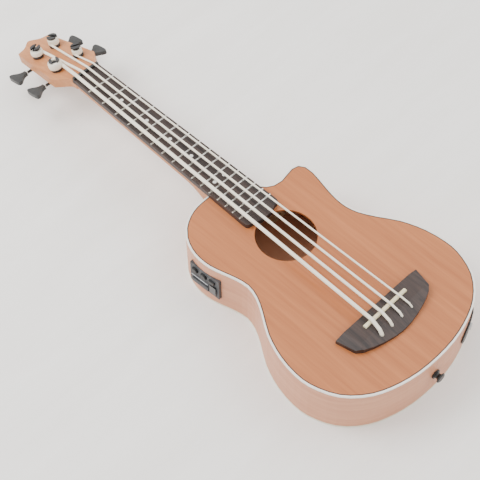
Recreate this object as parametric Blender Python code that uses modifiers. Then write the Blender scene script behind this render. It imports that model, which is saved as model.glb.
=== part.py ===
"""Bass ukulele: cutaway body, bolt-free glued neck, geared tuners and side preamp.

Frame (metres): +Z out of the soundboard, +Y along the neck towards the
headstock, +X to the treble (cutaway) side.  The origin lies on the outer face
of the back, under the nominal end of the scale.  Dimensions below are in mm.
"""
import bpy
import bmesh
import math
import numpy as np
from mathutils import Matrix, Vector

MM = 0.001
GAP = 0.3                    # clearance between neighbouring pieces

# ---- driving dimensions ----------------------------------------------------
SCALE = 514.0                # string scale, nut to nominal saddle line
FRETS = 16
BODY_DEPTH = 71.0            # back face to soundboard face
PLATE_T = 2.4                # soundboard and back
RIB_T = 2.0
BINDING_W = 1.9
BINDING_H = 2.6
HOLE_Y, HOLE_R = 151.5, 37.3
BOARD_T = 6.46
BOARD_HALF_NUT, BOARD_HALF_16 = 20.7, 26.5
BOARD_END = 184.0
FRET_H = 1.0
NUT_T = 3.6
HEAD_TILT = math.radians(15.0)
HEAD_T = 12.5
HEAD_DROP = 3.0              # headstock face below the fret plane at the nut
STRING_D = {"e": 4.9, "a": 3.9, "d": 3.1, "g": 2.5}
STRING_NUT = {"e": -15.3, "a": -5.3, "d": 5.1, "g": 15.2}
STRING_SADDLE = {"e": -23.0, "a": -7.6, "d": 7.8, "g": 23.2}
STRING_HOLE = {"e": -25.6, "a": -8.6, "d": 8.3, "g": 25.2}
BRIDGE_H = 9.0               # bridge top above the soundboard
SADDLE_TOP = 3.6             # saddle top above the fret plane
POSTS = {"e": (-18.5, 37.5), "a": (-14.3, 86.0), "d": (14.3, 86.0), "g": (18.5, 37.5)}
WORM_OFFSET = 9.8            # post axis to worm axis, towards the tip
WORM_DEPTH = 18.0            # worm axis below the headstock face
GEAR_TEETH = 20
GEAR_PITCH = 2.246           # tooth spacing at the pitch circle

Z_TOP = BODY_DEPTH
Z_BOARD = Z_TOP + GAP
Z_BOARD_TOP = Z_BOARD + BOARD_T
Z_FRET = Z_BOARD_TOP + FRET_H

# Body outline, clockwise from the neck joint: treble side with the cutaway,
# tail, bass side, shoulder.
OUTLINE = [
    (0, 258.8), (15, 258.8), (21.3, 257.3), (24.3, 251), (25, 242), (27.3, 233),
    (31.2, 226), (36.2, 220.2), (44, 215.6), (55, 214.2), (66, 216.4), (77, 218.3),
    (87, 215.8), (92.6, 207), (92.7, 194), (90.2, 181), (86, 163), (83.2, 146),
    (83, 131), (86.8, 115.5), (97, 96.2), (112.8, 71), (123.7, 41), (127.5, 14),
    (126.2, -6), (113, -38), (85.5, -62.9), (43, -78.2), (0, -82.2),
    (-43, -78.2), (-85.5, -62.9), (-113, -38), (-126.5, -6), (-128, 14),
    (-124.2, 41), (-113.2, 71), (-97.4, 96.4), (-87.3, 115.5), (-83.6, 132),
    (-86.3, 149), (-91.5, 166), (-95.8, 182), (-96.8, 199), (-94, 215.6),
    (-86.3, 232.3), (-77, 243), (-61, 253.2), (-45, 257.9), (-28, 258.8),
    (-12, 258.8), (0, 258.8),
]

# ---- scene and materials ---------------------------------------------------
for _ob in list(bpy.data.objects):
    bpy.data.objects.remove(_ob, do_unlink=True)


def collection(name):
    col = bpy.data.collections.get(name) or bpy.data.collections.new(name)
    if col.name not in bpy.context.scene.collection.children:
        bpy.context.scene.collection.children.link(col)
    return col


PARTS = collection("bass_ukulele")
CUTTERS = collection("cutters")


def material(name, rgb, rough, metal=0.0):
    mat = bpy.data.materials.new(name)
    mat.use_nodes = True
    bsdf = mat.node_tree.nodes["Principled BSDF"]
    bsdf.inputs["Base Color"].default_value = (*rgb, 1.0)
    bsdf.inputs["Roughness"].default_value = rough
    bsdf.inputs["Metallic"].default_value = metal
    mat.diffuse_color = (*rgb, 1.0)
    return mat


M_TOP = material("mahogany_top", (0.47, 0.105, 0.030), 0.38)
M_SIDE = material("mahogany_side", (0.52, 0.17, 0.075), 0.40)
M_BACK = material("mahogany_back", (0.44, 0.11, 0.04), 0.40)
M_NECK = material("mahogany_neck", (0.50, 0.15, 0.05), 0.42)
M_HEAD = material("spruce_brace", (0.72, 0.52, 0.30), 0.65)
M_BIND = material("white_binding", (0.86, 0.86, 0.83), 0.35)
M_BOARD = material("rosewood", (0.035, 0.020, 0.020), 0.55)
M_BRIDGE = material("rosewood_bridge", (0.022, 0.015, 0.017), 0.5)
M_FRET = material("fret_silver", (0.78, 0.76, 0.74), 0.28, 1.0)
M_BONE = material("cream_bone", (0.85, 0.67, 0.33), 0.4)
M_BLACK = material("black_plastic", (0.012, 0.012, 0.013), 0.35)
M_METAL = material("black_metal", (0.02, 0.02, 0.022), 0.3, 0.9)
M_STRING = material("cream_string", (0.90, 0.80, 0.68), 0.45)
M_GREY = material("grey_plastic", (0.045, 0.048, 0.055), 0.45)
M_BRASS = material("brass", (0.62, 0.44, 0.18), 0.35, 1.0)
M_STEEL = material("steel", (0.65, 0.65, 0.66), 0.3, 1.0)
M_WIRE = material("grey_wire", (0.10, 0.10, 0.11), 0.5)


# ---- small helpers ---------------------------------------------------------
def link(ob, mat=None, col=None):
    (col or PARTS).objects.link(ob)
    if mat is not None:
        ob.data.materials.clear()
        ob.data.materials.append(mat)
    return ob


def as_cutter(ob):
    for col in list(ob.users_collection):
        col.objects.unlink(ob)
    CUTTERS.objects.link(ob)
    ob.hide_render = True
    ob.display_type = 'WIRE'
    return ob


def from_bmesh(name, bm, mat, col=None, matrix=None, smooth=None):
    bmesh.ops.recalc_face_normals(bm, faces=bm.faces[:])
    me = bpy.data.meshes.new(name)
    bm.to_mesh(me)
    bm.free()
    if smooth is not None:
        me.shade_smooth()
        me.set_sharp_from_angle(angle=math.radians(smooth))
    ob = bpy.data.objects.new(name, me)
    link(ob, mat, col)
    if matrix is not None:
        ob.matrix_world = matrix
    return ob


def plate(name, loops, z0, z1, mat, col=None, matrix=None):
    """A flat outline, or a ring from two loops, between two heights."""
    cu = bpy.data.curves.new(name, 'CURVE')
    cu.dimensions = '2D'
    cu.fill_mode = 'BOTH'
    cu.extrude = abs(z1 - z0) / 2 * MM
    for loop in loops:
        sp = cu.splines.new('POLY')
        sp.points.add(len(loop) - 1)
        for pt, (x, y) in zip(sp.points, loop):
            pt.co = (x * MM, y * MM, 0.0, 1.0)
        sp.use_cyclic_u = True
    ob = bpy.data.objects.new(name, cu)
    link(ob, mat, col)
    ob.matrix_world = (matrix or Matrix()) @ Matrix.Translation((0, 0, (z0 + z1) / 2 * MM))
    return ob


def to_mesh(ob, smooth=None):
    """Turn a curve object into a mesh object whose caps are welded."""
    bpy.context.view_layer.update()
    deps = bpy.context.evaluated_depsgraph_get()
    me = bpy.data.meshes.new_from_object(ob.evaluated_get(deps))
    bm = bmesh.new()
    bm.from_mesh(me)
    bmesh.ops.remove_doubles(bm, verts=bm.verts[:], dist=1e-6)
    bmesh.ops.recalc_face_normals(bm, faces=bm.faces[:])
    bm.to_mesh(me)
    bm.free()
    if smooth is not None:
        me.shade_smooth()
        me.set_sharp_from_angle(angle=math.radians(smooth))
    name, mat, world, cols = ob.name, ob.data.materials[0] if ob.data.materials else None, ob.matrix_world.copy(), list(ob.users_collection)
    data = ob.data
    bpy.data.objects.remove(ob, do_unlink=True)
    bpy.data.curves.remove(data)
    new = bpy.data.objects.new(name, me)
    for col in cols:
        col.objects.link(new)
    new.matrix_world = world
    if mat is not None:
        me.materials.clear()
        me.materials.append(mat)
    return new


def solid_plate(name, loops, z0, z1, mat, col=None, matrix=None):
    return to_mesh(plate(name, loops, z0, z1, mat, col, matrix))


def box(name, lo, hi, mat, col=None, matrix=None, bevel=0.0):
    bm = bmesh.new()
    bmesh.ops.create_cube(bm, size=1.0)
    size = [(b - a) * MM for a, b in zip(lo, hi)]
    mid = [(a + b) / 2 * MM for a, b in zip(lo, hi)]
    bmesh.ops.scale(bm, vec=size, verts=bm.verts[:])
    bmesh.ops.translate(bm, vec=mid, verts=bm.verts[:])
    ob = from_bmesh(name, bm, mat, col, matrix)
    if bevel:
        add_bevel(ob, bevel)
    return ob


def add_bevel(ob, width, segments=2, angle=40):
    mod = ob.modifiers.new("edge", 'BEVEL')
    mod.width = width * MM
    mod.segments = segments
    mod.limit_method = 'ANGLE'
    mod.angle_limit = math.radians(angle)
    return mod


def cylinder(name, radius, z0, z1, mat, col=None, matrix=None, segments=24):
    bm = bmesh.new()
    bmesh.ops.create_cone(bm, cap_ends=True, cap_tris=False, segments=segments,
                          radius1=radius * MM, radius2=radius * MM, depth=(z1 - z0) * MM)
    bmesh.ops.translate(bm, vec=(0, 0, (z0 + z1) / 2 * MM), verts=bm.verts[:])
    return from_bmesh(name, bm, mat, col, matrix, smooth=40)


def turned(name, profile, mat, matrix=None, steps=20, closed=False, col=None):
    """A turned piece: (radius, height) pairs down its outer side, about local Z.

    A closed profile, listed down the outside and back up the bore, makes a
    ring; an open one starts and ends on the axis.
    """
    bm = bmesh.new()
    verts = [bm.verts.new((r * MM, 0, z * MM)) for r, z in profile]
    for a, b in zip(verts, verts[1:]):
        bm.edges.new((a, b))
    if closed:
        bm.edges.new((verts[-1], verts[0]))
    me = bpy.data.meshes.new(name)
    bm.to_mesh(me)
    bm.free()
    ob = bpy.data.objects.new(name, me)
    link(ob, mat, col)
    mod = ob.modifiers.new("turn", 'SCREW')
    mod.steps = steps
    mod.render_steps = steps
    mod.use_merge_vertices = True
    mod.merge_threshold = 0.00001
    mod.use_smooth_shade = True
    mod.use_normal_calculate = True
    if matrix is not None:
        ob.matrix_world = matrix
    bpy.context.view_layer.update()
    skin = bpy.data.meshes.new_from_object(ob.evaluated_get(bpy.context.evaluated_depsgraph_get()))
    bm = bmesh.new()
    bm.from_mesh(skin)
    bmesh.ops.remove_doubles(bm, verts=bm.verts[:], dist=1e-6)
    bmesh.ops.recalc_face_normals(bm, faces=bm.faces[:])
    bm.to_mesh(skin)
    bm.free()
    skin.shade_smooth()
    skin.set_sharp_from_angle(angle=math.radians(40))
    ob.modifiers.clear()
    ob.data = skin
    return ob


def tube(name, points, radius, mat, col=None, resolution=2):
    cu = bpy.data.curves.new(name, 'CURVE')
    cu.dimensions = '3D'
    cu.bevel_depth = radius * MM
    cu.bevel_resolution = resolution
    cu.use_fill_caps = True
    sp = cu.splines.new('POLY')
    sp.points.add(len(points) - 1)
    for pt, co in zip(sp.points, points):
        pt.co = (co[0] * MM, co[1] * MM, co[2] * MM, 1.0)
    ob = bpy.data.objects.new(name, cu)
    return link(ob, mat, col)


def boolean(ob, other, operation='DIFFERENCE'):
    mod = ob.modifiers.new(operation.lower(), 'BOOLEAN')
    mod.operation = operation
    mod.solver = 'EXACT'
    mod.object = other
    as_cutter(other)
    return ob


def arc(cx, cy, r, a0, a1, n):
    return [(cx + r * math.cos(math.radians(a0 + (a1 - a0) * i / n)),
             cy + r * math.sin(math.radians(a0 + (a1 - a0) * i / n))) for i in range(n + 1)]


def circle(cx, cy, r, n=32):
    return arc(cx, cy, r, 0, 360, n)[:-1]


def rounded_rect(x0, y0, x1, y1, r, n=4):
    return (arc(x1 - r, y1 - r, r, 0, 90, n) + arc(x0 + r, y1 - r, r, 90, 180, n)
            + arc(x0 + r, y0 + r, r, 180, 270, n) + arc(x1 - r, y0 + r, r, 270, 360, n))


def smooth_path(points, spacing):
    """Centripetal Catmull-Rom through the points, about one vertex per spacing."""
    pts = [np.array(q, float) for q in points]
    pts = [2 * pts[0] - pts[1]] + pts + [2 * pts[-1] - pts[-2]]
    out = []
    for i in range(1, len(pts) - 2):
        a, b, c, d = pts[i - 1:i + 3]
        t0 = 0.0
        t1 = t0 + np.linalg.norm(b - a) ** 0.5
        t2 = t1 + np.linalg.norm(c - b) ** 0.5
        t3 = t2 + np.linalg.norm(d - c) ** 0.5
        n = max(1, int(math.ceil(np.linalg.norm(c - b) / spacing)))
        for k in range(n):
            t = t1 + (t2 - t1) * k / n
            a1 = (t1 - t) / (t1 - t0) * a + (t - t0) / (t1 - t0) * b
            a2 = (t2 - t) / (t2 - t1) * b + (t - t1) / (t2 - t1) * c
            a3 = (t3 - t) / (t3 - t2) * c + (t - t2) / (t3 - t2) * d
            b1 = (t2 - t) / (t2 - t0) * a1 + (t - t0) / (t2 - t0) * a2
            b2 = (t3 - t) / (t3 - t1) * a2 + (t - t1) / (t3 - t1) * a3
            out.append((t2 - t) / (t2 - t1) * b1 + (t - t1) / (t2 - t1) * b2)
    out.append(pts[-2])
    return np.array(out)


EDGE = smooth_path(OUTLINE, 15.0)
_tan = np.gradient(EDGE, axis=0)
_tan[0] = _tan[-1] = (1.0, 0.0)
_tan /= np.linalg.norm(_tan, axis=1)[:, None]
EDGE_OUT = np.c_[-_tan[:, 1], _tan[:, 0]]           # outward normals


def inset(d, first=0, last=None):
    """The outline moved inwards by d, from vertex first to vertex last."""
    last = len(EDGE) - 1 if last is None else last
    pts = EDGE[first:last + 1] - EDGE_OUT[first:last + 1] * d
    return [tuple(q) for q in pts]


def closed_inset(d):
    return inset(d)[:-1]


def edge_index(x, y):
    return int(np.argmin(np.hypot(EDGE[:, 0] - x, EDGE[:, 1] - y)))


def wall(name, first, last, d0, d1, z0, z1, mat, col=None):
    """A strip that follows the outline from first to last, between insets d0 < d1."""
    bm = bmesh.new()
    pts = inset(d0, first, last)
    verts = [bm.verts.new((x * MM, y * MM, z0 * MM)) for x, y in pts]
    edges = [bm.edges.new((a, b)) for a, b in zip(verts, verts[1:])]
    res = bmesh.ops.extrude_edge_only(bm, edges=edges)
    moved = [g for g in res["geom"] if isinstance(g, bmesh.types.BMVert)]
    bmesh.ops.translate(bm, vec=(0, 0, (z1 - z0) * MM), verts=moved)
    for f in bm.faces:                       # face normals point out of the body
        f.normal_update()
        c = f.calc_center_median()
        i = edge_index(c.x / MM, c.y / MM)
        if f.normal.x * EDGE_OUT[i, 0] + f.normal.y * EDGE_OUT[i, 1] < 0:
            f.normal_flip()
    me = bpy.data.meshes.new(name)
    bm.to_mesh(me)
    bm.free()
    me.shade_smooth()
    ob = bpy.data.objects.new(name, me)
    link(ob, mat, col)
    mod = ob.modifiers.new("thickness", 'SOLIDIFY')
    mod.thickness = (d1 - d0) * MM
    mod.offset = -1.0
    mod.use_even_offset = True
    return ob


def local(origin, out, up):
    """A matrix whose Z is out, and Y the direction up made square to it."""
    z = Vector(out).normalized()
    y = (Vector(up) - Vector(up).dot(z) * z).normalized()
    x = y.cross(z)
    m = Matrix((x, y, z)).transposed().to_4x4()
    m.translation = Vector(origin) * MM
    return m


def half_board(y):
    """Half the width of the fingerboard at y."""
    y16 = SCALE / 2 ** (16 / 12)
    return BOARD_HALF_NUT + (BOARD_HALF_16 - BOARD_HALF_NUT) * (SCALE - y) / (SCALE - y16)


def fret_y(n):
    return SCALE / 2 ** (n / 12)


# ---- body ------------------------------------------------------------------
I_TAIL = edge_index(0, -82.2)
I_LAST = len(EDGE) - 1
I_CUT = edge_index(36.2, 220.2)
I_SHOULDER = edge_index(-45, 257.9)

solid_plate("back_plate", [closed_inset(BINDING_W + GAP)], 0.0, PLATE_T, M_BACK)
plate("binding_back", [closed_inset(0.0), closed_inset(BINDING_W)], GAP, GAP + BINDING_H, M_BIND)
plate("binding_top", [closed_inset(0.0), closed_inset(BINDING_W)],
      Z_TOP - BINDING_H, Z_TOP, M_BIND)

RIB_Z0 = GAP + BINDING_H + GAP
RIB_Z1 = Z_TOP - BINDING_H - GAP
rib_treble = wall("rib_treble", 0, I_TAIL, 0.0, RIB_T, RIB_Z0, RIB_Z1, M_SIDE)
rib_bass = wall("rib_bass", I_TAIL, I_LAST, 0.0, RIB_T, RIB_Z0, RIB_Z1, M_SIDE)
# The two halves meet at the tail and under the heel with a fine joint line.
for rib, side in ((rib_treble, 1), (rib_bass, -1)):
    for v in rib.data.vertices:
        if abs(v.co.x) < 0.0002:
            v.co.x = side * 0.15 * MM

LIN_Z0, LIN_Z1 = PLATE_T + GAP, Z_TOP - PLATE_T - GAP
wall("lining_back", I_CUT, I_SHOULDER, RIB_T + GAP, RIB_T + 5.2, LIN_Z0, 14.0, M_HEAD)
wall("lining_top", I_CUT, I_SHOULDER, RIB_T + GAP, RIB_T + 5.2, Z_TOP - 15.0, LIN_Z1, M_HEAD)

top = solid_plate("soundboard", [closed_inset(BINDING_W + GAP), circle(0, HOLE_Y, HOLE_R, 56)],
                  Z_TOP - PLATE_T, Z_TOP, M_TOP)

box("neck_block", (-30, 223.5, LIN_Z0), (17, 255.6, LIN_Z1), M_NECK)
# The tail block is rebated top and bottom so that the linings run past it.
tail = [(-79.6, 14.4), (-74.0, 14.4), (-74.0, LIN_Z0), (-56, LIN_Z0), (-56, LIN_Z1),
        (-74.0, LIN_Z1), (-74.0, Z_TOP - 15.4), (-79.6, Z_TOP - 15.4)]
tail_block = solid_plate("tail_block", [tail], -16.0, 16.0, M_NECK,
                         matrix=Matrix(((0, 0, 1, 0), (1, 0, 0, 0), (0, 1, 0, 0), (0, 0, 0, 1))))

box("brace_upper_face", (-88.2, 192.0, LIN_Z1 - 7.5), (84.2, 199.0, LIN_Z1), M_HEAD)
box("brace_lower_face", (-80, 99.5, LIN_Z1 - 7.5), (80, 106.5, LIN_Z1), M_HEAD)
box("back_brace", (-107, 52, LIN_Z0), (107, 60, LIN_Z0 + 9), M_HEAD)
bridge_plate = box("bridge_plate", (-50, -36, LIN_Z1 - 2.6), (50, 14, LIN_Z1), M_HEAD)

# ---- fingerboard, frets, nut -----------------------------------------------
y_nut = SCALE
w0, w1 = half_board(y_nut), half_board(BOARD_END)
half_end = [(w1, 196.0), (w1 - 0.3, 192.6), (w1 - 1.4, 190.4), (w1 - 3.4, 189.2),
            (19.0, 188.7), (16.0, 187.9), (13.0, 186.0), (10.0, 184.6), (6.5, 184.1), (0.0, BOARD_END)]
board_loop = [(w0, y_nut)] + half_end + [(-x, y) for x, y in reversed(half_end[:-1])] + [(-w0, y_nut)]
board = solid_plate("fretboard", [board_loop], Z_BOARD, Z_BOARD_TOP, M_BOARD)
# Blind slots from below for the tangs, and a channel that joins them.
TANG_HALF = 9.0
channel = box("fret_channel", (-1.9, fret_y(FRETS) - 3.0, Z_BOARD - 1.0),
              (1.9, fret_y(1) + 3.0, Z_BOARD + 1.9), M_BOARD, CUTTERS)
boolean(board, channel)
slot_bm = bmesh.new()
for n in range(1, FRETS + 1):
    y = fret_y(n)
    res = bmesh.ops.create_cube(slot_bm, size=1.0)
    bmesh.ops.scale(slot_bm, vec=((TANG_HALF + 0.4) * 2 * MM, 1.2 * MM, (BOARD_T + 2) * MM), verts=res["verts"])
    bmesh.ops.translate(slot_bm, vec=(0, y * MM, (Z_BOARD + BOARD_T / 2) * MM), verts=res["verts"])
slots = from_bmesh("fret_slots", slot_bm, M_BOARD, CUTTERS)
boolean(board, slots)

# All sixteen frets: crowned wire across the board, each with a short tang, on
# one thin strip that lies in the channel under the board.
spine = box("frets", (-1.5, fret_y(FRETS) - 1.5, Z_BOARD + 0.35), (1.5, fret_y(1) + 1.5, Z_BOARD + 1.5), M_FRET)
fret_bm = bmesh.new()
crown = [(-1.15, 0.0), (-0.75, 0.72), (0.0, 0.97), (0.75, 0.72), (1.15, 0.0)]
for n in range(1, FRETS + 1):
    y = fret_y(n)
    w = half_board(y) - 0.25
    section = [(y + a, Z_BOARD_TOP + 0.05 + b) for a, b in crown]
    section += [(y + 0.28, Z_BOARD_TOP + 0.05), (y + 0.28, Z_BOARD + 1.2), (y - 0.28, Z_BOARD + 1.2), (y - 0.28, Z_BOARD_TOP + 0.05)]
    rings = []
    for x in (-w, -TANG_HALF, TANG_HALF, w):
        tip = abs(x) > TANG_HALF + 1
        ring = []
        for i, (yy, zz) in enumerate(section):
            if tip and i > 4:
                ring.append(None)
            else:
                ring.append(fret_bm.verts.new((x * MM, yy * MM, zz * MM)))
        rings.append(ring)
    # crown skin
    for a, b in zip(rings, rings[1:]):
        for i in range(4):
            fret_bm.faces.new((a[i], a[i + 1], b[i + 1], b[i]))
    # undersides of the crown beside and beyond the tang
    for a, b in ((rings[0], rings[1]), (rings[2], rings[3])):
        mid = rings[1] if a is rings[0] else rings[2]
        end = rings[0] if a is rings[0] else rings[3]
        fret_bm.faces.new((end[0], end[4], mid[4], mid[5], mid[8], mid[0]))
        fret_bm.faces.new(end[:5])
        fret_bm.faces.new((mid[5], mid[6], mid[7], mid[8]))
    a, b = rings[1], rings[2]
    for i, j in ((4, 5), (5, 6), (6, 7), (7, 8), (8, 0)):
        fret_bm.faces.new((a[i], a[j], b[j], b[i]))
wires = from_bmesh("fret_wires", fret_bm, M_FRET, CUTTERS)
boolean(spine, wires, 'UNION')

nut = box("nut", (-w0 - 0.1, y_nut + GAP, Z_BOARD), (w0 + 0.1, y_nut + GAP + NUT_T, Z_FRET + 1.6), M_BLACK)

# ---- neck: lofted shaft and heel, joined to the headstock -------------------
NECK_Y0 = 258.8 + GAP
HEAD_Y0 = y_nut + 4.2                        # where the headstock face begins
P0 = Vector((0, HEAD_Y0, Z_FRET - HEAD_DROP))
HEAD_V = Vector((0, math.cos(HEAD_TILT), -math.sin(HEAD_TILT)))
HEAD_N = Vector((0, math.sin(HEAD_TILT), math.cos(HEAD_TILT)))
HEAD = Matrix((Vector((1, 0, 0)), HEAD_V, HEAD_N)).transposed().to_4x4()
HEAD.translation = P0 * MM


def neck_section(y):
    """Half width, depth and fullness of the neck's round back at y."""
    half = half_board(y)
    if y < 306:
        u = max(0.0, (y - 263.0) / 43.0)
        depth = 17.6 + 49.0 * (1 - u) ** 2.3
        foot = 1 - 0.24 * (1 - u) ** 1.5
    else:
        t = min(1.0, (y - 306) / 190.0)
        depth = 17.6 - 2.3 * t
        foot = 1.0
    if y > 506:
        depth = 15.3 - (y - 506) * 0.36 - max(0.0, y - 514) * 0.25
    return half, depth, foot


neck_bm = bmesh.new()
stations = [NECK_Y0, 263, 266, 270, 275, 281, 288, 296, 306, 340, 400, 460, 506, 514, 521.5]
N_SEC = 14
prev = None
first_ring = None
for y in stations:
    half, depth, foot = neck_section(y)
    ring = []
    for i in range(N_SEC + 1):
        a = math.pi * i / N_SEC
        c, s = math.cos(a), math.sin(a)
        x = -half * (abs(c) ** 0.86) * (1 if c >= 0 else -1)
        z = depth * (s ** 0.80)
        x *= 1 - (1 - foot) * (z / max(depth, 1e-6))
        ring.append(neck_bm.verts.new((x * MM, y * MM, (Z_TOP - z) * MM)))
    if prev:
        for i in range(N_SEC):
            neck_bm.faces.new((prev[i], prev[i + 1], ring[i + 1], ring[i]))
        neck_bm.faces.new((prev[0], ring[0], ring[-1], prev[-1]))
    else:
        first_ring = ring
    prev = ring
neck_bm.faces.new(first_ring)
neck_bm.faces.new(list(reversed(prev)))
neck = from_bmesh("neck", neck_bm, M_NECK, smooth=50)

head_half = [(w0 + 0.3, -6.0), (w0 + 0.4, 3.0), (22.0, 6.0), (35.4, 24.2), (36.0, 25.6), (35.95, 27.5),
             (27.2, 115.6), (26.2, 117.6), (22.0, 118.3), (18.3, 119.2), (15.0, 120.2), (12.4, 121.6),
             (9.0, 124.2), (5.0, 127.9), (1.4, 130.5)]
head_loop = head_half + [(-x, s) for x, s in reversed(head_half)]
head = solid_plate("headstock_blank", [head_loop], -HEAD_T, 0.0, M_NECK, matrix=HEAD)
boolean(neck, head, 'UNION')
# A square shoulder behind the nut, and the holes for the tuner bushings.
shoulder = box("nut_shoulder", (-40, 490, Z_TOP), (40, HEAD_Y0, Z_TOP + 30), M_NECK, CUTTERS)
boolean(neck, shoulder)
for key, (px, ps) in POSTS.items():
    hole = cylinder("bush_hole_" + key, 5.6, -HEAD_T - 4, 4, M_NECK, CUTTERS,
                    matrix=HEAD @ Matrix.Translation((px * MM, ps * MM, 0)), segments=20)
    boolean(neck, hole)

# ---- bridge, saddle, pickup ------------------------------------------------
bridge_half = [(67.7, 9.8), (62.0, -14.5), (54.5, -20.5), (42.0, -25.4), (28.0, -29.2), (13.0, -32.0), (0.0, -32.9)]
bridge_loop = bridge_half + [(-x, y) for x, y in reversed(bridge_half[:-1])]
bridge = solid_plate("bridge", [bridge_loop], Z_TOP + GAP, Z_TOP + BRIDGE_H, M_BRIDGE)
bm = bmesh.new()
bm.from_mesh(bridge.data)
bridge.data.transform(Matrix())
ZB = bridge.matrix_world.translation.z


def slice_off(bm, point, normal):
    """Cut away the side that the normal points to, and close the cut."""
    geom = bm.verts[:] + bm.edges[:] + bm.faces[:]
    co = Vector((point[0] * MM, point[1] * MM, point[2] * MM - ZB))
    res = bmesh.ops.bisect_plane(bm, geom=geom, plane_co=co, plane_no=Vector(normal).normalized(),
                                 clear_outer=True, dist=1e-7)
    rim = [g for g in res["geom_cut"] if isinstance(g, bmesh.types.BMEdge)]
    bmesh.ops.holes_fill(bm, edges=rim, sides=0)


top_z = Z_TOP + BRIDGE_H
slice_off(bm, (0, -13.6, top_z), (0, -math.sin(math.radians(17)), math.cos(math.radians(17))))
for side in (1, -1):
    slice_off(bm, (side * 53.5, 0, top_z), (side * math.sin(math.radians(15)), -0.03, math.cos(math.radians(15))))
bmesh.ops.recalc_face_normals(bm, faces=bm.faces[:])
bm.to_mesh(bridge.data)
bm.free()

SLOT_TURN = Matrix.Translation((0.8 * MM, -1.8 * MM, 0)) @ Matrix.Rotation(math.radians(0.8), 4, 'Z')
SADDLE_W, SADDLE_L = 4.8, 69.5
slot = box("saddle_slot", (-SADDLE_L / 2 - 0.35, -SADDLE_W / 2 - 0.35, Z_TOP + 3.2),
           (SADDLE_L / 2 + 0.35, SADDLE_W / 2 + 0.35, Z_TOP + 20), M_BRIDGE, CUTTERS, matrix=SLOT_TURN)
boolean(bridge, slot)
box("saddle_pickup", (-33.4, -SADDLE_W / 2 + 0.4, Z_TOP + 3.5), (33.4, SADDLE_W / 2 - 0.4, Z_TOP + 4.9),
    M_METAL, matrix=SLOT_TURN)
SADDLE_Z = Z_FRET + SADDLE_TOP
saddle_loop = [(-SADDLE_W / 2, Z_TOP + 5.2), (SADDLE_W / 2, Z_TOP + 5.2), (SADDLE_W / 2, SADDLE_Z - 1.3),
               (1.3, SADDLE_Z - 0.35), (0.2, SADDLE_Z), (-1.4, SADDLE_Z), (-SADDLE_W / 2, SADDLE_Z - 1.0)]
yz_to_x = Matrix(((0, 0, 1, 0), (1, 0, 0, 0), (0, 1, 0, 0), (0, 0, 0, 1)))
solid_plate("saddle", [saddle_loop], -SADDLE_L / 2, SADDLE_L / 2, M_BONE, matrix=SLOT_TURN @ yz_to_x)

# ---- strings ----------------------------------------------------------------
WIND_H0 = 4.0                                # winding starts above the headstock face
WIND_RI = 4.55
CAP_H0, CAP_H1 = 14.1, 16.4
WIND_TURNS = {"e": 2, "a": 2, "d": 3, "g": 3}
head_of = lambda x, s, h: P0 + Vector((x, 0, 0)) + HEAD_V * s + HEAD_N * h

for key in "eadg":
    r = STRING_D[key] / 2
    px, ps = POSTS[key]
    side = 1 if px < 0 else -1               # the string passes the post's inner side
    rm = WIND_RI + r
    xn, xs, xh = STRING_NUT[key], STRING_SADDLE[key], STRING_HOLE[key]
    h = WIND_H0 + r + 0.2
    nut_z = Z_FRET + 0.45 + r
    zs = SADDLE_Z + 0.3 + r
    tangent = head_of(px + side * rm, ps - 1.5, h)
    start = head_of(xn * 1.01, 3.0, 0)
    start.z = nut_z - 0.55
    # straight over the board, then down behind the saddle into the bridge
    t = (0.0 - SCALE) / (-3.0 - SCALE)
    path = [head_of(px + side * (rm - 0.4), ps + 1.2, h), tangent,
            Vector((xn * 1.006, HEAD_Y0 - 0.2, nut_z + 0.02)), Vector((xn, y_nut + 1.2, nut_z))]
    path += [Vector((xs, -3.4, zs)), Vector((xs + (xh - xs) * 0.15, -5.2, zs - 0.35)),
             Vector((xs + (xh - xs) * 0.5, -11.5, top_z + 0.75 + r)),
             Vector((xs + (xh - xs) * 0.8, -16.6, top_z - 0.4 + r)),
             Vector((xh, -20.4, top_z - 2.9 + r * 0.45)), Vector((xh, -22.2, top_z - 7.2)),
             Vector((xh, -22.8, Z_TOP - 3.0)), Vector((xh, -22.9, Z_TOP - 9.0))]
    pts = [tuple(q) for q in path]
    string = to_mesh(tube("string_" + key, pts, r, M_STRING), smooth=60)
    # the turns round the post, and the knot under the bridge plate
    turns_h = WIND_TURNS[key] * 2 * r
    ring = turned("winding_" + key,
                  [(WIND_RI, WIND_H0 + 0.4), (WIND_RI, WIND_H0 + turns_h - 0.2), (WIND_RI + 2 * r - 0.6, WIND_H0 + turns_h - 0.2),
                   (WIND_RI + 2 * r, WIND_H0 + turns_h - r), (WIND_RI + 2 * r, WIND_H0 + r), (WIND_RI + 2 * r - 0.6, WIND_H0 + 0.4)],
                  M_STRING, HEAD @ Matrix.Translation((px * MM, ps * MM, 0)), steps=14, closed=True)
    boolean(string, ring, 'UNION')
    bmk = bmesh.new()
    bmesh.ops.create_uvsphere(bmk, u_segments=8, v_segments=5, radius=(r + 1.7) * MM)
    knot = from_bmesh("knot_" + key, bmk, M_STRING, matrix=Matrix.Translation(
        (xh * MM, -22.9 * MM, (Z_TOP - 9.0) * MM)))
    boolean(string, knot, 'UNION')
    # passages through the bridge, the soundboard and the bridge plate
    passage = to_mesh(tube("passage_" + key, pts[5:], r + 0.4, M_STRING, CUTTERS))
    for ob in (bridge, top, bridge_plate):
        boolean(ob, passage)
    # slot in the nut
    groove = cylinder("groove_" + key, r + 0.35, -8, 8, M_BLACK, CUTTERS,
                      matrix=Matrix.Translation((xn * MM, (y_nut + 2.1) * MM, nut_z * MM)) @ Matrix.Rotation(math.pi / 2, 4, 'X'),
                      segments=16)
    boolean(nut, groove)

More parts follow.
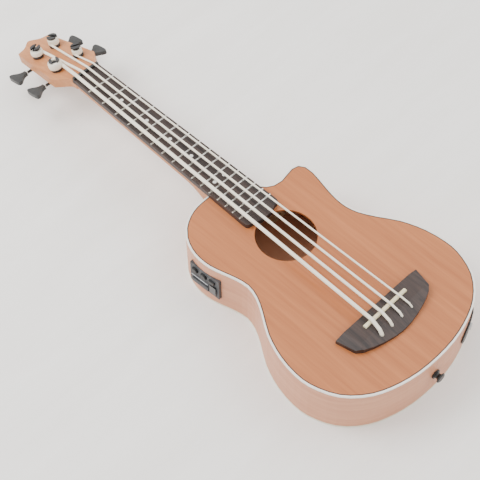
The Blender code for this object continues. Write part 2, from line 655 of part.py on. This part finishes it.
# ---- tuners -----------------------------------------------------------------
for key, (px, ps) in POSTS.items():
    out = -1 if px < 0 else 1
    at = HEAD @ Matrix.Translation((px * MM, ps * MM, 0))
    d = STRING_D[key]
    # bushing with its collar on the headstock face
    turned("bushing_" + key, [(4.45, 3.3), (6.9, 3.3), (7.4, 2.8), (7.4, 0.3), (5.3, 0.3), (5.3, -7.0), (4.45, -7.0)],
           M_METAL, at, steps=14, closed=True)
    # slotted string post
    post = turned("post_" + key, [(0, CAP_H1), (6.9, CAP_H1), (7.3, CAP_H1 - 0.4), (7.3, CAP_H0 + 0.3), (4.15, CAP_H0),
                                  (4.15, -15.6), (2.9, -15.7), (2.9, -20.9), (0, -20.9)], M_METAL, at, steps=14)
    notch = box("notch_" + key, (-9, -d / 2 - 0.35, CAP_H1 - 4.6), (9, d / 2 + 0.35, CAP_H1 + 3), M_METAL, CUTTERS,
                matrix=at @ Matrix.Rotation(math.radians({"e": 62, "a": 20, "d": 118, "g": -30}[key]), 4, 'Z'))
    boolean(post, notch)
    # gear on the post under the mounting plate
    ro, ri = 7.8, 6.55
    gear_loop = []
    for i in range(GEAR_TEETH):
        c = 2 * math.pi * i / GEAR_TEETH
        for da, r in ((-0.082, ri), (-0.036, ro), (0.036, ro), (0.082, ri)):
            gear_loop.append((r * math.cos(c + da), r * math.sin(c + da)))
    solid_plate("gear_" + key, [gear_loop, circle(0, 0, 3.25, 16)], -19.9, -16.1, M_BRASS, matrix=at)
    # mounting plate with two ears that carry the worm shaft
    flat = [(-9.2, -8.5), (9.2, -8.5), (9.2, 14.0), (-9.2, 14.0)]
    base = solid_plate("tuner_plate_" + key, [flat, circle(0, 0, 4.6, 16)],
                       -HEAD_T - 1.8, -HEAD_T - GAP, M_METAL, matrix=at)
    for s in (-1, 1):
        ear = box("ear_%s_%s" % (key, "in" if s < 0 else "out"), (s * 8.0 - 0.8, 6.6, -22.0), (s * 8.0 + 0.8, 13.4, -HEAD_T - 1.0),
                  M_METAL, matrix=at)
        boolean(base, ear, 'UNION')
    bore = cylinder("ear_bore_" + key, 2.35, -14, 14, M_METAL, CUTTERS,
                    matrix=at @ Matrix.Translation((0, WORM_OFFSET * MM, -WORM_DEPTH * MM)) @ Matrix.Rotation(math.pi / 2, 4, 'Y'), segments=16)
    boolean(base, bore)
    # worm shaft, to the root of its thread; its local Z runs outwards to the key
    axis = at @ Matrix.Translation((0, WORM_OFFSET * MM, -WORM_DEPTH * MM)) @ Matrix.Rotation(out * math.pi / 2, 4, 'Y')
    shaft = turned("worm_" + key, [(0, 27.0), (1.7, 27.0), (1.95, 20.5), (1.95, -9.4), (1.6, -9.9), (0, -9.9)], M_METAL, axis, steps=12)
    # key: a flared leaf with a rounded outer edge, thin across the headstock
    half = [(20.6, 2.9), (24.0, 3.1), (27.5, 4.3), (31.5, 7.4), (35.2, 10.9), (37.6, 12.4), (39.6, 12.7), (41.2, 11.6), (42.0, 8.0), (42.3, 0.0)]
    leaf = half + [(a, -b) for a, b in reversed(half[:-1])]
    knob = solid_plate("key_" + key, [leaf], -2.7, 2.7, M_BLACK,
                       matrix=axis @ Matrix(((0, 0, -1, 0), (0, 1, 0, 0), (1, 0, 0, 0), (0, 0, 0, 1))))
    socket = cylinder("key_socket_" + key, 2.3, 15, 27.6, M_BLACK, CUTTERS, matrix=axis, segments=12)
    boolean(knob, socket)

# ---- preamp on the bass side --------------------------------------------------
I_PRE = edge_index(-96.2, 187)
pre_c = EDGE[I_PRE]
pre_n = EDGE_OUT[I_PRE]
PRE_Z = 35.5
PRE = local((pre_c[0], pre_c[1], PRE_Z), (pre_n[0], pre_n[1], 0), (0, 0, 1))
PRE_W, PRE_H = 52.0, 42.0
window = box("preamp_window", (-23.4, -18.4, -8), (23.4, 18.4, 8), M_SIDE, CUTTERS, matrix=PRE)
boolean(rib_bass, window)
# flange that follows the side, trimmed to a rounded rectangle
flange = wall("preamp_housing", edge_index(-91, 221), edge_index(-86, 148), -1.9, -0.3, 6, 64, M_GREY)
trim = solid_plate("preamp_trim", [rounded_rect(-PRE_W / 2, -PRE_H / 2, PRE_W / 2, PRE_H / 2, 4.5)], -14, 14, M_GREY, CUTTERS, matrix=PRE)
boolean(flange, trim, 'INTERSECT')
case = box("preamp_case", (-23.0, -18.0, -27.0), (23.0, 18.0, 0.3), M_GREY, matrix=PRE)
boolean(flange, case, 'UNION')
# face plate level behind the controls, bays for the knobs, the button and the tray
KNOBS = {"volume": (-15.0, 8.0), "tone": (-1.0, 8.0)}
for name, (kx, ky) in KNOBS.items():
    boolean(flange, cylinder("bay_" + name, 5.0, -3.6, 8, M_GREY, CUTTERS, matrix=PRE @ Matrix.Translation((kx * MM, ky * MM, 0)), segments=20))
    boolean(flange, cylinder("spindle_bay_" + name, 1.7, -9.0, 8, M_GREY, CUTTERS, matrix=PRE @ Matrix.Translation((kx * MM, ky * MM, 0)), segments=12))
    turned("knob_" + name, [(0, 3.2), (3.9, 3.2), (4.4, 2.7), (4.6, -3.2), (1.3, -3.2), (1.3, -8.6), (0, -8.6)], M_BLACK,
           PRE @ Matrix.Translation((kx * MM, ky * MM, 0)), steps=20)
BUTTON = (12.5, 9.0)
boolean(flange, box("button_bay", (BUTTON[0] - 4.4, BUTTON[1] - 2.9, -6.5), (BUTTON[0] + 4.4, BUTTON[1] + 2.9, 8), M_GREY, CUTTERS, matrix=PRE))
box("tuner_button", (BUTTON[0] - 4.0, BUTTON[1] - 2.5, -4.6), (BUTTON[0] + 4.0, BUTTON[1] + 2.5, 2.9), M_BLACK, matrix=PRE)
boolean(flange, box("tray_bay", (-18.5, -14.6, -25.6), (7.5, -7.0, 8), M_GREY, CUTTERS, matrix=PRE))
tray = box("battery_tray", (-18.1, -14.2, -25.2), (7.1, -7.4, 2.6), M_GREY, matrix=PRE)
boolean(tray, cylinder("cell_bay", 10.5, 6.0, 11.4, M_GREY, CUTTERS,
                       matrix=PRE @ Matrix.Translation((-5.5 * MM, 0, -12.4 * MM)) @ Matrix.Rotation(math.pi / 2, 4, 'X'), segments=28))
cylinder("battery_cell", 10.0, -1.6, 1.6, M_STEEL,
         matrix=PRE @ Matrix.Translation((-5.5 * MM, -9.4 * MM, -12.4 * MM)) @ Matrix.Rotation(math.pi / 2, 4, 'X'), segments=24)

# ---- output jack on the treble side of the tail, strap button -----------------
I_JACK = edge_index(78, -66.5)
jc, jn = EDGE[I_JACK], EDGE_OUT[I_JACK]
JACK = local((jc[0], jc[1], 34.0), (jn[0], jn[1], 0), (0, 0, 1))
boolean(rib_treble, cylinder("jack_hole", 6.2, -8, 8, M_SIDE, CUTTERS, matrix=JACK, segments=24))


def on_wall(u, v, d):
    """The point u mm along the outline from the jack, v mm above its axis, d mm outside the wall."""
    step, i, rest = (1 if u >= 0 else -1), I_JACK, abs(u)
    while True:
        p, q = EDGE[i % len(EDGE)], EDGE[(i + step) % len(EDGE)]
        span = float(np.linalg.norm(q - p))
        if rest <= span:
            break
        rest -= span
        i += step
    t = rest / span
    out = EDGE_OUT[i % len(EDGE)] * (1 - t) + EDGE_OUT[(i + step) % len(EDGE)] * t
    x, y = p + (q - p) * t + out * d
    return (x * MM, y * MM, (34.0 + v) * MM)


# the jack's oval plate, bent to the wall
bmj = bmesh.new()
rings = []
for d in (0.7, 2.2):
    for k in ((0.0, 0.35, 0.7, 1.0) if d < 1 else (1.0, 0.7, 0.35, 0.0)):
        rings.append([bmj.verts.new(on_wall((5.2 + (24.0 - 5.2) * k) * math.cos(t * math.pi / 14),
                                            (5.2 + (15.5 - 5.2) * k) * math.sin(t * math.pi / 14), d)) for t in range(28)])
for ring, after in zip(rings, rings[1:] + rings[:1]):
    for t in range(28):
        bmj.faces.new((ring[t], ring[(t + 1) % 28], after[(t + 1) % 28], after[t]))
jack_plate = from_bmesh("jack_plate", bmj, M_BLACK, smooth=40)
turned("jack_socket", [(3.4, 4.2), (4.5, 4.2), (4.5, -1.4), (5.7, -1.4), (5.7, -4.0), (7.4, -4.0), (7.4, -30.0), (3.4, -30.0)],
       M_STEEL, JACK, steps=20, closed=True)

STRAP = local((0, -82.2, 35.0), (0, -1, 0), (0, 0, 1))
turned("strap_button", [(0, 9.6), (5.2, 9.6), (6.6, 8.6), (6.6, 7.6), (3.9, 6.2), (3.5, 4.4), (4.4, 2.8), (6.2, 2.2), (6.2, 0.5), (5.8, 0.3), (1.9, 0.3), (1.9, -19.0), (0, -21.0)],
       M_BLACK, STRAP, steps=20)
screw_way = cylinder("strap_screw_way", 2.3, -23, 4, M_SIDE, CUTTERS, matrix=STRAP, segments=16)
boolean(rib_treble, screw_way)
boolean(rib_bass, cylinder("strap_screw_way_bass", 2.3, -23, 4, M_SIDE, CUTTERS, matrix=STRAP, segments=16))
boolean(tail_block, cylinder("strap_screw_way_block", 2.3, -23, 4, M_SIDE, CUTTERS, matrix=STRAP, segments=16))

# ---- internal leads: held along their whole route ------------------------------
lead_r = 1.1
p_exit = PRE @ Vector((16 * MM, 4 * MM, -27.6 * MM))
p_exit = Vector(p_exit) / MM
route = [(30.4, -2.2, Z_TOP - 0.6), (30.4, -2.4, Z_TOP - 8.0), (24, 14, 58), (-6, 60, 50), (-38, 112, 40), (-56, 150, 36),
         (p_exit.x + 8, p_exit.y - 6, p_exit.z), (p_exit.x + 0.4, p_exit.y - 0.3, p_exit.z)]
tube("pickup_lead", [tuple(q) for q in smooth_path(route, 16)], lead_r, M_WIRE, resolution=1)
lead_way = cylinder("lead_way", 1.9, Z_TOP - 12, Z_TOP + 3.35, M_BRIDGE, CUTTERS, matrix=Matrix.Translation((30.4 * MM, -2.3 * MM, 0)), segments=12)
for ob in (bridge, top, bridge_plate):
    boolean(ob, lead_way)
q_exit = Vector(PRE @ Vector((16 * MM, -8 * MM, -27.6 * MM))) / MM
j_in = Vector(JACK @ Vector((0, 0, -30.6 * MM))) / MM
route = [tuple(q_exit), (q_exit.x + 8, q_exit.y - 6, q_exit.z - 2), (-52, 146, 20), (-42, 100, 19), (-20, 40, 20), (14, -8, 24),
         (j_in.x - 12, j_in.y + 16, 33), tuple(j_in)]
tube("jack_lead", [tuple(q) for q in smooth_path(route, 16)], lead_r, M_WIRE, resolution=1)
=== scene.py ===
import math

import bmesh
import bpy
from mathutils import Matrix, Vector


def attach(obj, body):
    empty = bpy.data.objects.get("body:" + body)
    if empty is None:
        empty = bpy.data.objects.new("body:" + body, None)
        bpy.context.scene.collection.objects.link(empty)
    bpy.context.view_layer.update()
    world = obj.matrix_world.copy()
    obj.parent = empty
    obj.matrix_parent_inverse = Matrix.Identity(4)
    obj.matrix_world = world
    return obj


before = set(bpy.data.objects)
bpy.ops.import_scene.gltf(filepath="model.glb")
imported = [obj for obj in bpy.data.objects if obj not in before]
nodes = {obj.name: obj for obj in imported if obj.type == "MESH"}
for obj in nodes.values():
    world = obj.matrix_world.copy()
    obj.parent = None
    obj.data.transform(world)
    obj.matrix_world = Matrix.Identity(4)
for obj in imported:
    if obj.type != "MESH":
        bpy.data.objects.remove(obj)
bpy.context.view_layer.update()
MM = 0.001

# ---- camera --------------------------------------------------------------------
cam_data = bpy.data.cameras.new("camera")
cam_data.lens = 89.974
cam_data.sensor_width = 36.0
cam_data.shift_x = 0.0087
cam_data.shift_y = -0.0019
camera = bpy.data.objects.new("camera", cam_data)
bpy.context.scene.collection.objects.link(camera)
RIGHT = Vector((0.7144811, -0.6995413, -0.0125964))
DOWN = Vector((-0.5736295, -0.5753825, -0.5829960))
VIEW = Vector((0.4005820, 0.4237653, -0.8123774))
turn = Matrix((RIGHT, -DOWN, -VIEW)).transposed().to_4x4()
camera.matrix_world = Matrix.Translation((-0.61167, -0.40911, 1.21793)) @ turn
bpy.context.scene.camera = camera


# ---- materials: each one is made of nodes --------------------------------------
def grained(name, dark, light, rough, stretch=(90.0, 5.0, 90.0), detail=6.0, bump=0.02, metal=0.0, coat=0.0, fine=400.0):
    mat = bpy.data.materials.new(name)
    mat.use_nodes = True
    tree = mat.node_tree
    shader = tree.nodes["Principled BSDF"]
    coord = tree.nodes.new("ShaderNodeTexCoord")
    mapping = tree.nodes.new("ShaderNodeMapping")
    mapping.inputs["Scale"].default_value = stretch
    tree.links.new(coord.outputs["Object"], mapping.inputs["Vector"])
    noise = tree.nodes.new("ShaderNodeTexNoise")
    noise.inputs["Scale"].default_value = 1.0
    noise.inputs["Detail"].default_value = detail
    noise.inputs["Roughness"].default_value = 0.62
    noise.inputs["Distortion"].default_value = 0.25
    tree.links.new(mapping.outputs["Vector"], noise.inputs["Vector"])
    ramp = tree.nodes.new("ShaderNodeValToRGB")
    ramp.color_ramp.elements[0].position = 0.32
    ramp.color_ramp.elements[0].color = (*dark, 1)
    ramp.color_ramp.elements[1].position = 0.68
    ramp.color_ramp.elements[1].color = (*light, 1)
    tree.links.new(noise.outputs["Fac"], ramp.inputs["Fac"])
    tree.links.new(ramp.outputs["Color"], shader.inputs["Base Color"])
    speck = tree.nodes.new("ShaderNodeTexNoise")
    speck.inputs["Scale"].default_value = fine
    speck.inputs["Detail"].default_value = 3.0
    tree.links.new(coord.outputs["Object"], speck.inputs["Vector"])
    span = tree.nodes.new("ShaderNodeMapRange")
    span.inputs["To Min"].default_value = max(rough - 0.06, 0.02)
    span.inputs["To Max"].default_value = min(rough + 0.08, 1.0)
    tree.links.new(speck.outputs["Fac"], span.inputs["Value"])
    tree.links.new(span.outputs["Result"], shader.inputs["Roughness"])
    lift = tree.nodes.new("ShaderNodeBump")
    lift.inputs["Strength"].default_value = bump
    lift.inputs["Distance"].default_value = 0.001
    tree.links.new((noise if stretch[0] != stretch[1] else speck).outputs["Fac"], lift.inputs["Height"])
    tree.links.new(lift.outputs["Normal"], shader.inputs["Normal"])
    shader.inputs["Metallic"].default_value = metal
    shader.inputs["Coat Weight"].default_value = coat
    return mat


EVEN = (60.0, 60.0, 60.0)
TOP = grained("top_wood", (0.37, 0.115, 0.034), (0.47, 0.162, 0.054), 0.40, stretch=(160.0, 6.0, 60.0), bump=0.03)
SIDE = grained("side_wood", (0.52, 0.215, 0.115), (0.62, 0.29, 0.165), 0.40, stretch=(9.0, 9.0, 140.0), bump=0.04)
NECK = grained("neck_wood", (0.44, 0.165, 0.058), (0.56, 0.24, 0.10), 0.45, stretch=(150.0, 7.0, 120.0), bump=0.04)
ROSE = grained("rosewood", (0.012, 0.008, 0.008), (0.052, 0.031, 0.026), 0.48, stretch=(260.0, 14.0, 120.0), bump=0.12)
INNER = grained("inner_wood", (0.50, 0.33, 0.18), (0.68, 0.50, 0.31), 0.70, stretch=(120.0, 8.0, 60.0), bump=0.04)
WHITE = grained("white_binding", (0.78, 0.76, 0.70), (0.88, 0.86, 0.81), 0.28, stretch=EVEN, coat=0.2)
CREAM = grained("cream_binding", (0.74, 0.67, 0.52), (0.82, 0.76, 0.62), 0.34, stretch=EVEN)
SADDLE = grained("saddle_cream", (0.72, 0.62, 0.38), (0.82, 0.74, 0.52), 0.36, stretch=EVEN)
STRING = grained("string_rubber", (0.80, 0.74, 0.60), (0.88, 0.83, 0.72), 0.50, stretch=EVEN, bump=0.05)
FRET = grained("fret_metal", (0.62, 0.61, 0.58), (0.78, 0.77, 0.74), 0.24, stretch=EVEN, metal=1.0)
STEEL = grained("plain_steel", (0.50, 0.50, 0.50), (0.66, 0.66, 0.65), 0.32, stretch=EVEN, metal=1.0)
BRASS = grained("gear_brass", (0.48, 0.35, 0.14), (0.66, 0.52, 0.25), 0.34, stretch=EVEN, metal=1.0)
BLACK = grained("tuner_black", (0.012, 0.012, 0.013), (0.030, 0.030, 0.032), 0.36, stretch=EVEN)
KEYS = grained("key_black", (0.014, 0.014, 0.014), (0.032, 0.032, 0.033), 0.40, stretch=EVEN, bump=0.06)
PANEL = grained("panel_grey", (0.034, 0.036, 0.040), (0.060, 0.062, 0.068), 0.50, stretch=EVEN, bump=0.10, fine=1500.0)
CONTROL = grained("control_black", (0.010, 0.010, 0.011), (0.024, 0.024, 0.025), 0.42, stretch=EVEN)
NUT = grained("nut_black", (0.014, 0.013, 0.013), (0.034, 0.032, 0.031), 0.42, stretch=EVEN)
DOT = grained("dot_white", (0.74, 0.73, 0.69), (0.88, 0.87, 0.84), 0.30, stretch=EVEN)
PURFLE = grained("purfling_dark", (0.020, 0.011, 0.008), (0.050, 0.026, 0.018), 0.45, stretch=EVEN)
LINE = grained("panel_line", (0.50, 0.52, 0.54), (0.64, 0.66, 0.68), 0.40, stretch=EVEN)
GLASS = grained("display_dark", (0.006, 0.007, 0.009), (0.014, 0.016, 0.020), 0.14, stretch=EVEN, coat=0.4)
LEAD = grained("lead_black", (0.012, 0.012, 0.012), (0.028, 0.028, 0.028), 0.55, stretch=EVEN)
FLOOR = grained("pale_floor", (0.88, 0.86, 0.83), (0.93, 0.915, 0.89), 0.80, stretch=(4.0, 22.0, 3.0))

for name, ob in nodes.items():
    stem = name.rsplit("_", 1)[0]
    if name == "soundboard":
        mat = TOP
    elif name in ("rib_bass", "rib_treble", "back_plate"):
        mat = SIDE
    elif name == "neck":
        mat = NECK
    elif name in ("fretboard", "bridge"):
        mat = ROSE
    elif name == "binding_top":
        mat = WHITE
    elif name == "binding_back":
        mat = CREAM
    elif name == "frets":
        mat = FRET
    elif name == "nut":
        mat = NUT
    elif name == "saddle":
        mat = SADDLE
    elif stem == "string":
        mat = STRING
    elif stem == "gear":
        mat = BRASS
    elif stem == "key":
        mat = KEYS
    elif stem in ("post", "bushing", "tuner_plate", "worm") or name == "strap_button":
        mat = BLACK
    elif name in ("preamp_housing", "battery_tray"):
        mat = PANEL
    elif stem == "knob" or name in ("tuner_button", "jack_plate"):
        mat = CONTROL
    elif name in ("jack_socket", "battery_cell"):
        mat = STEEL
    elif name in ("pickup_lead", "jack_lead", "saddle_pickup"):
        mat = LEAD
    else:
        mat = INNER
    ob.data.materials.clear()
    ob.data.materials.append(mat)


# ---- small pieces that stand on the frame ---------------------------------------
def piece(name, bm, mat, body="root", smooth=True):
    me = bpy.data.meshes.new(name)
    bmesh.ops.recalc_face_normals(bm, faces=bm.faces[:])
    bm.to_mesh(me)
    bm.free()
    if smooth:
        me.shade_smooth()
        me.set_sharp_from_angle(angle=math.radians(40))
    me.materials.append(mat)
    ob = bpy.data.objects.new(name, me)
    bpy.context.scene.collection.objects.link(ob)
    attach(ob, body)
    return ob


def disc(name, centre, direction, radius, depth, mat, body="root", steps=28):
    bm = bmesh.new()
    turn = Vector((0, 0, 1)).rotation_difference(Vector(direction)).to_matrix().to_4x4()
    bmesh.ops.create_cone(bm, cap_ends=True, segments=steps, radius1=radius * MM, radius2=radius * MM, depth=depth * MM,
                          matrix=Matrix.Translation(Vector(centre) * MM) @ turn)
    return piece(name, bm, mat, body)


def fret_y(n):
    return 514.0 * 2 ** (-n / 12)


def half_board(y):
    return 20.1 + (514.0 - y) / 310.0 * 6.1


for n in (3, 5, 7, 9, 12):
    y = (fret_y(n) + fret_y(n - 1)) / 2
    for k, x in enumerate((-8.0, 8.0) if n == 12 else (0.0,)):
        disc("dot_%d_%d" % (n, k), (x, y, 77.76), (0, 0, 1), 2.4, 0.10, DOT)
    for k, dy in enumerate((-2.6, 2.6) if n == 12 else (0.0,)):
        disc("side_dot_%d_%d" % (n, k), (-half_board(y), y + dy, 74.6), (1, 0, 0), 0.9, 0.12, DOT, steps=16)

for t, (px, wy, wz) in {"e": (-18.5, 559.230, 46.131), "g": (18.5, 559.230, 46.131),
                        "a": (-14.3, 606.077, 33.578), "d": (14.3, 606.077, 33.578)}.items():
    side = math.copysign(1, px)
    disc("washer_" + t, (px + side * 20.4, wy, wz), (1, 0, 0), 3.4, 1.2, DOT, body="tuner_key_" + t, steps=24)

# the dark line inside the white binding follows the soundboard's own edge
bm = bmesh.new()
bm.from_mesh(nodes["soundboard"].data)
bmesh.ops.remove_doubles(bm, verts=bm.verts[:], dist=1e-6)
top_z = max(v.co.z for v in bm.verts)
rim = [e for e in bm.edges if all(v.co.z > top_z - 1e-5 for v in e.verts) and any(abs(f.normal.z) < 0.3 for f in e.link_faces)]
links = {}
for e in rim:
    a, b = e.verts
    links.setdefault(a.index, []).append(b.index)
    links.setdefault(b.index, []).append(a.index)
bm.verts.ensure_lookup_table()
start = max(links, key=lambda i: abs(bm.verts[i].co.x))
loop, before = [start], None
while True:
    steps = [i for i in links[loop[-1]] if i != before]
    if not steps or steps[0] == start and len(loop) > 2:
        break
    before = loop[-1]
    loop.append(steps[0])
    if len(loop) > len(links):
        break
outline = [bm.verts[i].co.copy() for i in loop]
bm.free()
area = sum(p.x * q.y - q.x * p.y for p, q in zip(outline, outline[1:] + outline[:1])) / 2
flip = 1 if area > 0 else -1
strip = bmesh.new()
rows = []
for k, p in enumerate(outline):
    a, b = outline[k - 1], outline[(k + 1) % len(outline)]
    along = (b - a).normalized()
    inward = Vector((-along.y, along.x, 0)) * flip
    rows.append([strip.verts.new((p.x + inward.x * d * MM, p.y + inward.y * d * MM, z))
                 for d, z in ((0.1, top_z - 0.00005), (0.1, top_z + 0.00006), (1.0, top_z + 0.00006), (1.0, top_z - 0.00005))])
for r, s in zip(rows, rows[1:] + rows[:1]):
    for k in range(4):
        strip.faces.new((r[k], r[(k + 1) % 4], s[(k + 1) % 4], s[k]))
piece("purfling", strip, PURFLE, smooth=False)

# the side panel's display and its thin light line
PRE = Matrix(((0.058722, 0.0, -0.998274, -0.096751), (-0.998274, 0.0, -0.058722, 0.190470), (0.0, 1.0, 0.0, 0.0355), (0, 0, 0, 1)))


def panel_box(name, lo, hi, mat):
    b = bmesh.new()
    bmesh.ops.create_cube(b, size=1.0)
    lo, hi = Vector(lo) * MM, Vector(hi) * MM
    for v in b.verts:
        v.co = PRE @ Vector(((lo + hi) / 2 + Vector((v.co.x * (hi.x - lo.x), v.co.y * (hi.y - lo.y), v.co.z * (hi.z - lo.z)))))
    return piece(name, b, mat, smooth=False)


panel_box("display", (9.0, -13.0, 1.0), (19.0, 2.0, 2.3), GLASS)
panel_box("panel_line", (-20.0, -2.4, 1.5), (6.0, -1.8, 2.15), LINE)

# ---- surface and light ---------------------------------------------------------
bm = bmesh.new()
bmesh.ops.create_grid(bm, x_segments=1, y_segments=1, size=6.0)
me = bpy.data.meshes.new("floor")
bm.to_mesh(me)
bm.free()
me.materials.append(FLOOR)
floor = bpy.data.objects.new("floor", me)
bpy.context.scene.collection.objects.link(floor)

world = bpy.data.worlds.new("room")
world.use_nodes = True
world.node_tree.nodes["Background"].inputs["Color"].default_value = (1.0, 0.985, 0.96, 1)
world.node_tree.nodes["Background"].inputs["Strength"].default_value = 1.5
bpy.context.scene.world = world


def lamp(name, place, target, size, power):
    data = bpy.data.lights.new(name, 'AREA')
    data.size = size
    data.energy = power
    ob = bpy.data.objects.new(name, data)
    bpy.context.scene.collection.objects.link(ob)
    ob.location = place
    ob.rotation_euler = (Vector(target) - Vector(place)).to_track_quat('-Z', 'Y').to_euler()


lamp("key", (-0.9, 1.3, 1.7), (0, 0.25, 0), 1.2, 44)
lamp("fill", (1.4, -0.6, 1.6), (0, 0.2, 0), 1.6, 15)
